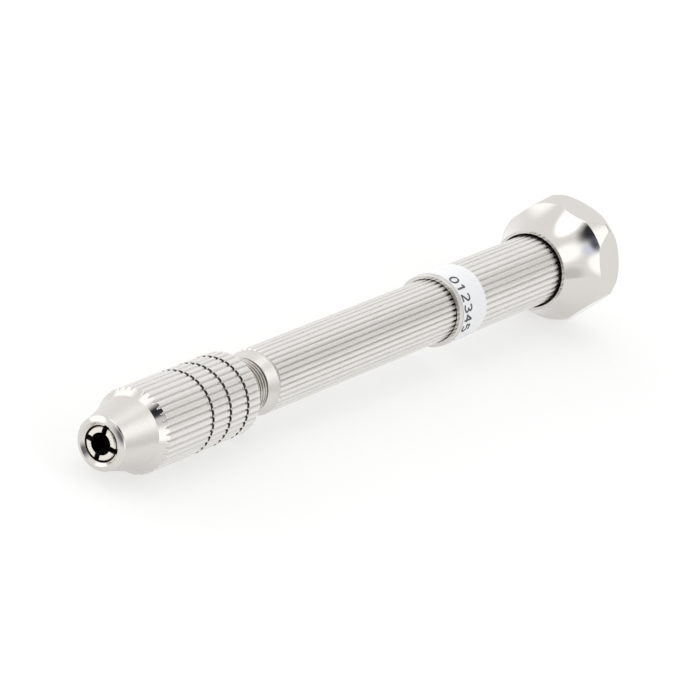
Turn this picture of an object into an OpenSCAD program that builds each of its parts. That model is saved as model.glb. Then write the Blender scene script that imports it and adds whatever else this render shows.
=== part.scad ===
// Pin vise with a hexagonal swivel head: a small hand chuck for drills, needles and wire.
// The tool's axis is +X, from the jaws to the head. +Z is up, with one flat of the head facing down.
// The origin is the centre of the front collet's mouth.
// The diameters follow each other outwards: collet, barrel and threads, cap and sleeve, head.

/* [Collets] */
// Diameter of a collet's body
collet_d = 5.2; // [4:0.1:6.4]
// Length of a collet
collet_len = 22; // [18:0.5:27]
// Drop from a collet's body to its jaw tips
jaw_drop = 0.62; // [0.3:0.02:0.8]
// Length of the taper on the jaws
jaw_taper_len = 3.6; // [2.6:0.1:4.6]
// Width of the chamfer at the jaw tips
jaw_edge = 0.12; // [0.05:0.01:0.2]
// Distance that the jaw tips lie behind the cap's front face
jaw_recess = 0.35; // [0:0.05:0.6]
// Bore of the front collet's front jaws
front_bore_d = 2.6; // [1:0.1:3]
// Bore of the front collet's rear jaws
rear_bore_d = 1.2; // [0.6:0.1:2.4]
// Bores of the spare collet's two ends
spare_bore_d = [1.9, 0.7]; // [0.5:0.1:2.5]
// Depth of each jaw bore
jaw_bore_len = 9; // [6:0.5:9]
// Diameter of the wider bore between the jaws
collet_relief_d = 3.2; // [2.8:0.1:3.6]
// Width of the slots between the jaws
slot_w = 0.65; // [0.3:0.05:0.8]
// Length of the slots
slot_len = 8; // [6:0.5:8.5]
// Turn of the front collet's slots away from upright, in degrees
slot_turn = -6; // [-45:1:45]
// Turn of the spare collet's slots away from upright, in degrees
spare_turn = 20; // [-45:1:45]

/* [Nose cap] */
// Length of the cap, front face to rear edge
cap_len = 25.7; // [24:0.1:32]
// Thickness of the cap's wall outside the thread
cap_wall = 1.52; // [1:0.02:2.4]
// Number of flutes round the cap
cap_flutes = 38; // [28:1:44]
// Gap between the jaw tips and the cap's mouth
mouth_gap = 0.17; // [0.08:0.01:0.3]
// Width of the chamfer round the mouth
mouth_chamfer = 0.38; // [0.2:0.02:0.45]
// Thickness of the lip round the mouth
lip_wall = 1.05; // [0.9:0.05:1.4]
// Length of the lip
lip_len = 0.5; // [0.5:0.05:0.8]
// Length of the lip's rounded front
lip_round = 0.38; // [0.1:0.02:0.38]
// Width of the flat left on the lip, between its rounded front and the mouth's chamfer
lip_face = 0.06; // [0.02:0.02:0.3]
// Length of the plain cone behind the lip
cone_len = 5.05; // [4:0.05:6.1]
// Length of the bevel from the cone up to the knurl
bevel_len = 1.15; // [0.8:0.05:1.5]
// Height of that bevel
bevel_h = 0.74; // [0.4:0.02:1]
// Width of the chamfer at the cap's rear edge
cap_rear_chamfer = 0.4; // [0.2:0.05:0.6]
// Centre of the first grip ring, from the cap's front face
ring_first = 15.5; // [12:0.1:16]
// Distance between grip rings
ring_pitch = 3.65; // [2:0.05:3.9]
// Number of grip rings
ring_count = 3; // [1:1:3]
// Width of a grip ring
ring_w = 0.44; // [0.3:0.02:0.8]
// Depth of a grip ring
ring_depth = 0.32; // [0.2:0.02:0.5]
// Length of thread left in front of the barrel in a tight cap
cap_thread_spare = 0.6; // [0.4:0.1:1.2]

/* [Barrel] */
// Length of the barrel's knurled part
barrel_len = 41.9; // [34:0.1:52]
// Number of flutes round the barrel
barrel_flutes = 36; // [24:1:40]
// Thickness of the wall under the front thread
spigot_wall = 0.58; // [0.4:0.02:0.9]
// Length of the front thread
front_thread_len = 12.1; // [10:0.1:14]
// Gap between the cap's rear edge and the barrel's collar, with the cap backed off
cap_backoff = 4; // [2.5:0.1:5]
// Length of the smooth collar in front of the knurl
collar_len = 1.8; // [1.2:0.1:2.4]
// Drop from the knurl's crests to the collar
collar_step = 0.13; // [0.05:0.01:0.3]
// Thickness of the wall under the rear thread
rear_wall = 0.61; // [0.4:0.01:1]
// Length of the rear thread
rear_thread_len = 7.6; // [6.8:0.1:9]
// Height of the shoulder between the rear thread and the knurl's crests
shoulder_h = 0.4; // [0.3:0.02:0.8]
// Diameter of the long bore for work that is longer than a collet
long_bore_d = 3.4; // [2:0.1:3.8]

/* [Sleeve] */
// Length of the sleeve
sleeve_len = 26.6; // [25:0.1:32]
// Thickness of the sleeve's wall at its mouth
sleeve_wall = 0.5; // [0.4:0.02:0.8]
// Number of flutes round the sleeve
sleeve_flutes = 36; // [28:1:44]
// Length of barrel knurl that the sleeve's mouth covers
sleeve_overlap = 1.4; // [0.8:0.1:2.5]
// Length of the smooth rim at the sleeve's mouth
sleeve_rim_len = 0.7; // [0.5:0.05:1.2]
// Height of the rim over the knurl's crests
sleeve_rim_rise = 0.03; // [0:0.01:0.1]
// Thickness of the sleeve's closed end, which the pivot screw is in
sleeve_end_wall = 6; // [5:0.1:7]
// Gap between the spare collet and the closed end
spare_gap = 0.3; // [0.1:0.1:0.8]
// Room in front of the spare collet
spare_play = 1.2; // [0.5:0.1:2]

/* [Label] */
// Width of the paper label along the axis
label_w = 5.6; // [3:0.1:8]
// Thickness of the label
label_t = 0.08; // [0.05:0.01:0.12]

/* [Swivel head] */
// Width across the head's flats
head_flats = 14.8; // [13.4:0.1:18]
// Depth that turning takes off the hexagon's corners
corner_cut = 0.295; // [0.1:0.005:0.5]
// Length of the head
head_len = 12.2; // [11:0.1:14]
// Distance from the head's front lip to its widest place
head_crest_x = 8.4; // [7:0.1:9]
// Thickness of the front lip round the recess
head_lip_wall = 0.39; // [0.2:0.01:0.5]
// Distance from the front lip to the shoulder, where the hollow flare ends
head_shoulder_x = 5.87; // [5:0.05:6.4]
// Height of the shoulder over the flats
head_shoulder_rise = 0.26; // [0.1:0.02:0.5]
// Slope of the flare at the front lip, in degrees
head_lip_slope = 12.5; // [5:0.5:20]
// Diameter of the flat at the rear
head_rear_d = 10; // [7:0.1:12]
// Depth of the recess that the sleeve's end turns in
recess_depth = 1.7; // [1.2:0.1:2.5]
// Gap round the sleeve's end in the recess
recess_gap = 0.26; // [0.2:0.02:0.5]
// Thickness of the thrust washer
washer_t = 0.4; // [0.3:0.05:0.6]
// Distance from the washer's edge to the sleeve's
washer_inset = 0.3; // [0.2:0.05:0.6]

/* [Pivot screw] */
// Diameter of the plain shank that the head turns on
pivot_d = 3.4; // [2.8:0.1:4.1]
// Diameter of the screw's head
screw_head_d = 5.4; // [4.8:0.1:6.4]
// Height of the screw's head
screw_head_h = 1.5; // [1.2:0.1:1.8]
// Depth of the screw's head below the swivel head's rear face
screw_sink = 0.7; // [0.3:0.1:1]
// Width and depth of the screwdriver slot
screw_slot = 0.7; // [0.5:0.05:0.9]
// Diameter of the thread
screw_thread_d = 2.5; // [2:0.1:2.7]
// Length of the thread
screw_thread_len = 4.4; // [3.5:0.1:4.6]

/* [Knurls, threads and fits] */
// Depth of the straight knurls
knurl_depth = 0.3; // [0.15:0.01:0.34]
// Share of a flute that is crest
knurl_crest = 0.56; // [0.4:0.02:0.8]
// Depth of the threads
thread_depth = 0.27; // [0.2:0.01:0.32]
// Pitch of both threads
thread_pitch = 0.5; // [0.4:0.05:0.6]
// Length of the plain groove at the ends of a thread
thread_relief = 0.3; // [0.2:0.05:0.5]
// Radial clearance of the threads
thread_clear = 0.04; // [0.02:0.01:0.06]
// Radial clearance of the turning and sliding fits
run_clear = 0.05; // [0.02:0.01:0.08]
// Radial clearance round a collet where nothing has to fit
collet_clear = 0.12; // [0.1:0.01:0.2]
// Gap between faces that meet
face_gap = 0.04; // [0.02:0.01:0.08]
// Width of the small chamfers
edge = 0.2; // [0.1:0.02:0.3]
// Distance that the cap and collet move back when they are tightened
close_travel = 2; // [1:0.1:2.2]

/* [Hidden] */
$fn = 96;
// Distance that a cut runs past the face that it opens
past = 1;
// Overlap of solids that are joined, and the distance that an outline stands off a knurl's crests
eps = 0.01;
// Shares of a thread's pitch that its flank and its crest take
thread_flank = 0.35;
thread_crest = 0.25;
// Number of stretches that each half of the head's outline is drawn in
head_steps = 16;

// Radii, from the collet outwards
collet_r = collet_d / 2;
jaw_tip_r = collet_r - jaw_drop;
jaw_slope = jaw_drop / (jaw_taper_len - jaw_edge);
mouth_r = jaw_tip_r + mouth_gap;
chamber_r = collet_r + collet_clear;
socket_r = collet_r + run_clear;
storage_r = collet_r + collet_clear;
front_thread_r = socket_r + spigot_wall + thread_depth;
rear_thread_r = storage_r + rear_wall + thread_depth;
barrel_r = rear_thread_r + shoulder_h;
collar_r = barrel_r - collar_step;
cap_thread_r = front_thread_r + thread_clear;
cap_r = cap_thread_r + cap_wall;
rim_r = cap_r - bevel_h;
lip_r = mouth_r + lip_wall;
lip_face_r = mouth_r + mouth_chamfer + lip_face;
sleeve_mouth_r = barrel_r + run_clear;
sleeve_thread_r = rear_thread_r + thread_clear;
sleeve_r = sleeve_mouth_r + sleeve_wall;
recess_r = sleeve_r + recess_gap;
head_lip_r = recess_r + head_lip_wall;
head_corner_r = head_flats / 2 / cos(30);
head_crest_r = head_corner_r - corner_cut;
head_shoulder_r = head_flats / 2 + head_shoulder_rise;

// Places along the axis, from the jaw tips at 0
x_cap = -jaw_recess;
x_cap_rear = x_cap + cap_len;
x_collar = x_cap_rear + cap_backoff;
x_knurl = x_collar + collar_len;
x_spigot = x_collar - front_thread_len;
x_barrel_end = x_knurl + barrel_len;
x_rear_thread_end = x_barrel_end + rear_thread_len;
x_sleeve = x_barrel_end - sleeve_overlap;
x_label = x_sleeve + sleeve_rim_len;
x_sleeve_end = x_sleeve + sleeve_len;
x_storage_end = x_sleeve_end - sleeve_end_wall;
x_spare = x_storage_end - spare_gap - collet_len;
x_washer = x_sleeve_end + face_gap;
x_floor = x_washer + washer_t + face_gap;
x_head = x_floor - recess_depth;
x_crest = x_head + head_crest_x;
x_head_end = x_head + head_len;
x_screw_head = x_head_end - screw_sink - screw_head_h;

// A solid turned round the axis from [radius, x] points
module turned(points) {
    rotate([0, 90, 0]) rotate_extrude() polygon(points);
}

// A plain round length along the axis, as a solid or to cut a bore
module rod(x0, x1, r) {
    translate([x0, 0, 0]) rotate([0, 90, 0]) cylinder(h = x1 - x0, r = r);
}

// The outline of a straight knurl: broad crests with narrow V grooves between them
function knurl_points(r, n) =
    let (step = 360 / n, half = knurl_crest * step / 2)
    [for (i = [0 : n - 1], corner = [[-half, r], [0, r], [half, r], [step / 2, r - knurl_depth]])
        corner[1] * [cos(i * step + corner[0]), sin(i * step + corner[0])]];

// A knurled length along the axis
module knurled(x0, x1, r, n) {
    translate([x0, 0, 0]) rotate([0, 90, 0])
        linear_extrude(x1 - x0) polygon(knurl_points(r, n));
}

// The edge of a thread between x0 and x1, as rings a pitch apart
function thread_edge(x0, x1, r) = [
    for (i = [0 : floor((x1 - x0) / thread_pitch) - 1]) each [
        [r - thread_depth, x0 + i * thread_pitch],
        [r, x0 + (i + thread_flank) * thread_pitch],
        [r, x0 + (i + thread_flank + thread_crest) * thread_pitch]
    ]
];

// The front of the head: a hollow flare, an arc whose slope grows evenly from lip to shoulder
flare_slope = 2 * atan((head_shoulder_r - head_lip_r) / head_shoulder_x) - head_lip_slope;
flare_reach = head_shoulder_x / (sin(flare_slope) - sin(head_lip_slope));
function flare_point(share) =
    let (slope = head_lip_slope + share * (flare_slope - head_lip_slope))
    [head_lip_r + flare_reach * (cos(head_lip_slope) - cos(slope)),
        x_head + flare_reach * (sin(slope) - sin(head_lip_slope))];

// The radius of the rear of the head at x, a quarter ellipse
rear_reach = (x_head_end - x_crest) / sqrt(1 - pow(head_rear_d / 2 / head_crest_r, 2));
function head_rear_r(x) = head_crest_r * sqrt(1 - pow((x - x_crest) / rear_reach, 2));

// The cap's outside: lip, cone, bevel and a chamfered rear edge
module cap_outside() {
    x_cone = x_cap + lip_len;
    x_rim = x_cone + cone_len;
    turned([
        [0, x_cap], [lip_face_r, x_cap],
        for (a = [15 : 15 : 90])
            [lip_face_r + (lip_r - lip_face_r) * sin(a), x_cap + lip_round * (1 - cos(a))],
        [lip_r, x_cone - edge / 2], [lip_r - edge / 3, x_cone],
        [rim_r, x_rim], [cap_r + eps, x_rim + bevel_len],
        [cap_r + eps, x_cap_rear - cap_rear_chamfer],
        [cap_r - cap_rear_chamfer, x_cap_rear], [0, x_cap_rear]
    ]);
}

// The cap's inside: mouth, the taper that closes the jaws, chamber and threaded bore
module cap_inside() {
    taper_r = jaw_tip_r + run_clear;
    x_thread = x_spigot - close_travel - cap_thread_spare;
    turned([
        [0, x_cap - past], [mouth_r + mouth_chamfer + past, x_cap - past],
        [mouth_r, x_cap + mouth_chamfer],
        [mouth_r, jaw_edge + (mouth_r - taper_r) / jaw_slope],
        [chamber_r, jaw_edge + (chamber_r - taper_r) / jaw_slope],
        [chamber_r, x_thread - thread_depth], [cap_thread_r, x_thread],
        [cap_thread_r, x_cap_rear - edge], [cap_thread_r + edge + past, x_cap_rear + past],
        [0, x_cap_rear + past]
    ]);
}

module nose_cap() {
    color("gainsboro") difference() {
        intersection() {
            cap_outside();
            knurled(x_cap - past, x_cap_rear + past, cap_r, cap_flutes);
        }
        cap_inside();
        for (i = [0 : ring_count - 1])
            translate([x_cap + ring_first + i * ring_pitch - ring_w / 2, 0, 0])
                difference() {
                    rod(0, ring_w, cap_r + past);
                    rod(-past, ring_w + past, cap_r - ring_depth);
                }
    }
}

// A collet with jaws at both ends, from x on, with the bores of its two ends
module collet(x, bores, turn) {
    translate([x, 0, 0]) difference() {
        turned([
            [0, 0], [jaw_tip_r - jaw_edge, 0], [jaw_tip_r, jaw_edge],
            [collet_r, jaw_taper_len], [collet_r, collet_len - jaw_taper_len],
            [jaw_tip_r, collet_len - jaw_edge], [jaw_tip_r - jaw_edge, collet_len],
            [0, collet_len]
        ]);
        rod(-past, jaw_bore_len, bores[0] / 2);
        rod(jaw_bore_len - eps, collet_len - jaw_bore_len + eps, collet_relief_d / 2);
        rod(collet_len - jaw_bore_len, collet_len + past, bores[1] / 2);
        for (a = [0, 90], start = [-past, collet_len - slot_len])
            rotate([turn + a, 0, 0]) translate([start, -slot_w / 2, -collet_d])
                cube([slot_len + past, slot_w, 2 * collet_d]);
    }
}

module front_collet() {
    color("silver") collet(0, [front_bore_d, rear_bore_d], slot_turn);
}

module spare_collet() {
    color("silver") collet(x_spare, spare_bore_d, spare_turn);
}

// The barrel's outside: front thread and collar, knurl, rear thread
module barrel_outside() {
    front_root = front_thread_r - thread_depth;
    rear_root = rear_thread_r - thread_depth;
    turned(concat(
        [[0, x_spigot], [front_root, x_spigot]],
        thread_edge(x_spigot + thread_relief, x_collar - thread_relief, front_thread_r),
        [
            [front_root, x_collar - thread_relief / 2], [front_root, x_collar],
            [front_thread_r - edge / 2, x_collar], [collar_r, x_knurl - edge],
            [collar_r, x_knurl + eps], [0, x_knurl + eps]
        ]
    ));
    intersection() {
        knurled(x_knurl, x_barrel_end, barrel_r, barrel_flutes);
        turned([
            [0, x_knurl], [barrel_r - edge / 2, x_knurl], [barrel_r + eps, x_knurl + edge / 2],
            [barrel_r + eps, x_barrel_end - edge], [barrel_r - edge, x_barrel_end],
            [0, x_barrel_end]
        ]);
    }
    turned(concat(
        [[0, x_barrel_end - eps], [rear_root, x_barrel_end - eps]],
        thread_edge(x_barrel_end + thread_relief, x_rear_thread_end, rear_thread_r),
        [[rear_root, x_rear_thread_end], [0, x_rear_thread_end]]
    ));
}

// The barrel's inside: collet socket with its seat, long bore, and storage for the spare collet
module barrel_inside() {
    x_seat = collet_len + close_travel + face_gap;
    x_storage = x_spare - spare_play;
    turned([
        [0, x_spigot - past], [socket_r, x_spigot - past],
        [socket_r, x_seat - jaw_taper_len], [jaw_tip_r + run_clear, x_seat],
        [long_bore_d / 2, x_seat + edge], [long_bore_d / 2, x_storage - edge],
        [storage_r, x_storage], [storage_r, x_rear_thread_end + past],
        [0, x_rear_thread_end + past]
    ]);
}

module barrel() {
    color("lightgray") difference() {
        barrel_outside();
        barrel_inside();
    }
}

module sleeve() {
    rim_r = sleeve_r + sleeve_rim_rise;
    x_mouth = x_barrel_end + edge;
    x_thread_end = x_rear_thread_end + thread_relief;
    color("lightgray") difference() {
        union() {
            turned([
                [0, x_sleeve], [rim_r - edge, x_sleeve], [rim_r, x_sleeve + edge],
                [rim_r, x_label], [0, x_label]
            ]);
            intersection() {
                knurled(x_label - eps, x_sleeve_end, sleeve_r, sleeve_flutes);
                turned([
                    [0, x_label - eps], [sleeve_r + eps, x_label - eps],
                    [sleeve_r + eps, x_sleeve_end - edge], [sleeve_r - edge, x_sleeve_end],
                    [0, x_sleeve_end]
                ]);
            }
        }
        turned([
            [0, x_sleeve - past], [sleeve_mouth_r, x_sleeve - past],
            [sleeve_mouth_r, x_mouth], [sleeve_thread_r, x_mouth],
            [sleeve_thread_r, x_thread_end], [storage_r, x_thread_end],
            [storage_r, x_storage_end], [0, x_storage_end]
        ]);
        rod(x_sleeve_end - screw_thread_len - thread_relief, x_sleeve_end + past,
            screw_thread_d / 2 + thread_clear);
    }
}

module label() {
    inner_r = sleeve_r + face_gap / 2;
    color("white") difference() {
        rod(x_label + face_gap / 2, x_label + label_w, inner_r + label_t);
        rod(x_label - past, x_label + label_w + past, inner_r);
    }
}

module thrust_washer() {
    color("goldenrod") difference() {
        rod(x_washer, x_washer + washer_t, sleeve_r - washer_inset);
        rod(x_washer - past, x_washer + washer_t + past, pivot_d / 2 + run_clear);
    }
}

module head() {
    rear_step = (x_head_end - x_crest) / head_steps;
    front = [for (i = [0 : head_steps]) flare_point(i / head_steps)];
    rear = [for (i = [0 : head_steps]) let (x = x_crest + i * rear_step) [head_rear_r(x), x]];
    color("silver") difference() {
        intersection() {
            turned(concat([[0, x_head]], front, rear, [[0, x_head_end]]));
            translate([x_head - past, 0, 0]) rotate([0, 90, 0]) rotate([0, 0, 30])
                cylinder(h = head_len + 2 * past, r = head_corner_r, $fn = 6);
        }
        rod(x_head - past, x_floor, recess_r);
        rod(x_floor - past, x_head_end + past, pivot_d / 2 + run_clear);
        rod(x_screw_head - face_gap, x_head_end + past, screw_head_d / 2 + 2 * run_clear);
    }
}

module pivot_screw() {
    x_top = x_screw_head + screw_head_h;
    color("darkgray") difference() {
        union() {
            rod(x_sleeve_end - screw_thread_len, x_washer, screw_thread_d / 2);
            rod(x_sleeve_end + face_gap / 2, x_screw_head + eps, pivot_d / 2);
            turned([
                [0, x_screw_head], [screw_head_d / 2, x_screw_head],
                [screw_head_d / 2, x_top - edge], [screw_head_d / 2 - edge, x_top], [0, x_top]
            ]);
        }
        translate([x_top - screw_slot, -screw_head_d, -screw_slot / 2])
            cube([screw_slot + past, 2 * screw_head_d, screw_slot]);
    }
}

nose_cap();
front_collet();
barrel();
sleeve();
label();
spare_collet();
thrust_washer();
head();
pivot_screw();
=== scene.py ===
"""Looks of a pin vise with a swivel head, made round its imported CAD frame.

Sizes are in millimetres and become metres where a mesh is made. The tool's axis is X. Every new piece
is a turned surface: rings of points at (x, radius, turn), where turn goes from +Z towards -Y.
"""

import math

import bmesh
import bpy
import numpy as np
from mathutils import Matrix, Vector
from mathutils.bvhtree import BVHTree


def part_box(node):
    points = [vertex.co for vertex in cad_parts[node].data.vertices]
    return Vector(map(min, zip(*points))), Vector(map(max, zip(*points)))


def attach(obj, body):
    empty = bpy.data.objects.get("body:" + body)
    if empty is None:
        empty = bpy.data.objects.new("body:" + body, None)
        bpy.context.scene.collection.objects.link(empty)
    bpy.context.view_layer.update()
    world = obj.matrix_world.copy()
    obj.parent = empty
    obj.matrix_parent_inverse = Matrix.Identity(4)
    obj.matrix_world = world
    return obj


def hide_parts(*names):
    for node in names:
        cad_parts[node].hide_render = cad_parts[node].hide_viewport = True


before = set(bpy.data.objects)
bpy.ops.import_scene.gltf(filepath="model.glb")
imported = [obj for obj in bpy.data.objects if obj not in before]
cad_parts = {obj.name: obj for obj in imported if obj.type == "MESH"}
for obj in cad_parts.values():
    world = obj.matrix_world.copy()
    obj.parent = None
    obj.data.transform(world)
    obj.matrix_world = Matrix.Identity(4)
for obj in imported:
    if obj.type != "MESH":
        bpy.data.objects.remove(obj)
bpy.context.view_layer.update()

MM = 0.001

# ---------------------------------------------------------------- image points
# Places in the photograph's 700 x 700 frame. An edge is the right-hand end of that ring as it shows.
W, H = 700, 700
POINTS = {
    "object_left": (77.4, None),
    "object_right": (618.8, None),
    "object_top": (None, 194.5),
    "object_bottom": (None, 474.9),
    "mouth": (100.6, 443.9),
    "rim_edge": (160.2, 439.3),
    "cap_rear_edge": (260.2, 401.1),
    "collar_edge": (280.1, 387.6),
    "sleeve_mouth_edge": (460.7, 315.6),
    "label_rear_edge": (486.7, 307.0),
    "sleeve_end_edge": (561.4, 272.6),
    "head_corner": (607.0, 227.9),
    "print": (467.6, 302.5),
}

# ---------------------------------------------------------------- camera
CAMERA_AIM = Vector((57.2, 1.4, -3.0))  # a point on the middle of the barrel
CAMERA_AZIMUTH = -156.96  # degrees from +X, seen from above
CAMERA_ELEVATION = 25.91  # degrees above the tool's axis
CAMERA_DISTANCE = 560.0  # millimetres
CAMERA_ROLL = 23.6  # degrees, because the photographer held the camera askew
CAMERA_LENS, SENSOR_WIDTH = 237.8, 36.0  # millimetres
CAMERA_CLIP = 0.01, 10.0  # metres


def camera():
    """The photographer's long lens, aimed by azimuth, elevation and distance, then rolled."""
    data = bpy.data.cameras.new("camera")
    data.lens, data.sensor_width, data.sensor_fit = CAMERA_LENS, SENSOR_WIDTH, "AUTO"
    data.clip_start, data.clip_end = CAMERA_CLIP
    made = bpy.data.objects.new("camera", data)
    azimuth, elevation = math.radians(CAMERA_AZIMUTH), math.radians(CAMERA_ELEVATION)
    outward = Vector((
        math.cos(elevation) * math.cos(azimuth),
        math.cos(elevation) * math.sin(azimuth),
        math.sin(elevation),
    ))
    turn = outward.to_track_quat("Z", "Y").to_matrix() @ Matrix.Rotation(
        math.radians(CAMERA_ROLL), 3, "Z")
    made.matrix_world = Matrix.LocRotScale(
        (CAMERA_AIM + outward * CAMERA_DISTANCE) * MM, turn, None)
    bpy.context.scene.collection.objects.link(made)
    bpy.context.scene.camera = made
    bpy.context.view_layer.update()
    return made


CAMERA = camera()


def seen_at(points):
    """Where points in metres show in the photograph's frame, as rows of x, y."""
    local = (np.asarray(points) - np.array(CAMERA.matrix_world.translation)) @ np.array(
        CAMERA.matrix_world.to_3x3())
    scale = max(W, H) * CAMERA_LENS / SENSOR_WIDTH / -local[:, 2]
    return np.stack([W / 2 + local[:, 0] * scale, H / 2 - local[:, 1] * scale], 1)


def place(point, carrier):
    """The place on a carrier's surface that shows at an image point, or the nearest to its ray."""
    x, y = point
    side = max(W, H)
    local = Vector((x - W / 2, H / 2 - y, -side * CAMERA_LENS / SENSOR_WIDTH))
    eye = CAMERA.matrix_world.translation
    ray = (CAMERA.matrix_world.to_3x3() @ local).normalized()
    tree = BVHTree.FromObject(carrier, bpy.context.evaluated_depsgraph_get())
    hit = tree.ray_cast(eye, ray)[0]
    if hit is None:
        reach = (Vector(np.array(carrier.bound_box).mean(0)) - eye).dot(ray)
        hit = tree.find_nearest(eye + ray * reach)[0]
    return hit


# ---------------------------------------------------------------- sizes
def span(node):
    """A CAD node's first and last x, in millimetres."""
    low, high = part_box(node)
    return low.x / MM, high.x / MM


CAP_X, CAP_END = span("nose_cap")
BARREL_X, BARREL_END = span("barrel")
SLEEVE_X, SLEEVE_END = span("sleeve")
LABEL_X, LABEL_END = span("label")
HEAD_X, HEAD_END = span("head")

# A name in _R is a radius, one in _X or _END a place along the axis, and the rest are lengths or counts.
# Cap
CAP_R, CAP_FLUTES = 5.06, 38
MOUTH_R, MOUTH_CHAMFER = 2.15, 0.38
LIP_R, LIP_FACE_R, LIP_LEN, LIP_CROWN = 3.2, 2.59, 0.5, 0.1
CONE_R, CONE_END_R, CONE_LEN = 3.17, 4.32, 5.05
BEVEL_LEN = 1.15
CAP_CHAMFER = 0.4
RING_FIRST, RING_PITCH, RING_COUNT = 15.5, 3.65, 3  # the first ring's middle, from CAP_X
RING_W, RING_DEPTH = 0.44, 0.32
CAP_BORE_R, CAP_BORE_X = 3.54, 14.65
CHAMBER_R, CHAMBER_X, TAPER_X = 2.72, 3.99, 0.79
COLLET_BORE_R = 1.3
# Barrel
BARREL_R, BARREL_FLUTES = 4.0, 36
COLLAR_X, COLLAR_R = 29.35, 3.87
KNURL_X, KNURL_END = 31.15, 73.05
THREAD_PITCH, THREAD_DEPTH = 0.5, 0.27
FRONT_THREAD_R, REAR_THREAD_R = 3.5, 3.6
SOCKET_R, SOCKET_END, SEAT_X = 2.65, 20.44, 24.04
LONG_BORE_R, STORAGE_X, STORAGE_R = 1.7, 68.75, 2.72
# Sleeve and label
SLEEVE_R, SLEEVE_FLUTES = 4.55, 36
SLEEVE_RIM_R, SLEEVE_MOUTH_R, SLEEVE_THREAD_R = 4.58, 4.05, 3.64
SLEEVE_STEP_X, SLEEVE_THREAD_END, STORAGE_END = 73.25, 80.95, 92.25
SCREW_HOLE_R, SCREW_HOLE_X = 1.29, 93.55
RIM_ROUND = 0.12
LABEL_R, LABEL_IN_R = 4.65, 4.57
# Each crease of the label: its turn, how far it bends round the tool along the label, and its height
CREASES = [(0.9, 0.7, 0.05), (1.75, -0.5, 0.04), (3.4, 0.4, 0.04), (5.1, -0.6, 0.05)]
CREASE_WIDTH = 0.05  # in radians of turn
PAPER_STAND = 0.06  # how far creases and lifted edges may stand over the label's radius
# Head
HEAD_FLATS = 14.8
HEAD_CREST_X, HEAD_CREST_R = 105.43, 8.25
HEAD_SHOULDER_X, HEAD_SHOULDER_R = 102.9, 7.66
HEAD_LIP_R, HEAD_LIP_SLOPE, HEAD_REAR_R = 5.2, 12.5, 5.0  # the slope in degrees
RECESS_R, RECESS_X = 4.81, 98.73
PIVOT_R, COUNTERBORE_R, COUNTERBORE_X = 1.75, 2.8, 106.99
# Knurls: a groove's depth, and the crest's share of a flute
KNURL_DEPTH, KNURL_CREST = 0.3, 0.56
KNURL_SOFT = 0.015  # over which a knurl's run-outs are rounded


# ---------------------------------------------------------------- surfaces
ARC_STEP = 0.05  # between the points of a rounded corner, at most
SUPPORT = 0.04  # from a rounded corner's end to its support point
SHARP_ANGLE = 40  # degrees between two faces from which the edge between them is shaded sharp
ROUND_TURNS = np.arange(120) * 2 * math.pi / 120


def lower(a, b, soft):
    """The lower of two heights; where they cross, the corner between them is rounded over soft."""
    share = np.clip(0.5 + (b - a) / (2 * soft), 0, 1)
    return b + (a - b) * share - soft * share * (1 - share)


def rounded(corners, closed=True):
    """A profile with rounded corners, from (x, r, fillet) corners.

    A corner becomes an arc that touches both of its sides, its points turning evenly about the arc's
    centre. The arc takes less than half of either side. A support point follows on each side that has
    room for it, so that the shading of the side stays flat.
    """
    points = np.array([c[:2] for c in corners], float)
    rows = []
    for i, (x, r, fillet) in enumerate(corners):
        before, here, after = points[i - 1], points[i], points[(i + 1) % len(points)]
        if not fillet or (not closed and i in (0, len(corners) - 1)):
            rows.append(here)
            continue
        back, on = before - here, after - here
        back_len, on_len = np.hypot(*back), np.hypot(*on)
        back, on = back / back_len, on / on_len
        half = math.acos(np.clip(back @ on, -1, 1)) / 2
        touch = min(fillet / math.tan(half), 0.45 * back_len, 0.45 * on_len)
        radius = touch * math.tan(half)
        centre = here + (back + on) / np.hypot(*(back + on)) * radius / math.sin(half)
        start, end = here + back * touch - centre, here + on * touch - centre
        sweep = math.atan2(start[0] * end[1] - start[1] * end[0], start @ end)
        turns = np.linspace(0, sweep, int(abs(sweep) * radius / ARC_STEP) + 3)
        arc = np.stack([
            start[0] * np.cos(turns) - start[1] * np.sin(turns),
            start[0] * np.sin(turns) + start[1] * np.cos(turns),
        ], 1) + centre
        if back_len / 2 > touch + SUPPORT:
            rows.append(here + back * (touch + SUPPORT))
        rows += list(arc)
        if on_len / 2 > touch + SUPPORT:
            rows.append(here + on * (touch + SUPPORT))
    return np.array(rows)


def finer(profile, x0, x1, step):
    """The profile, with its sides between x0 and x1 cut into lengths of at most step."""
    rows = []
    for here, after in zip(profile, np.roll(profile, -1, 0)):
        rows.append(here)
        length = np.hypot(*(after - here))
        if x0 < (here[0] + after[0]) / 2 < x1 and length > step:
            cuts = math.ceil(length / step)
            rows += list(here + (after - here) * (np.arange(1, cuts) / cuts)[:, None])
    return np.array(rows)


def grid(profile, turns):
    """A turned profile as the x and r of its grid, before anything is cut into it."""
    return np.repeat(profile[:, :1], len(turns), 1), np.repeat(profile[:, 1:], len(turns), 1)


def sides(profile):
    """The x and r of the middle of each side of a closed profile, by which the slots are given."""
    return ((profile + np.roll(profile, -1, 0)) / 2).T


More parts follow.
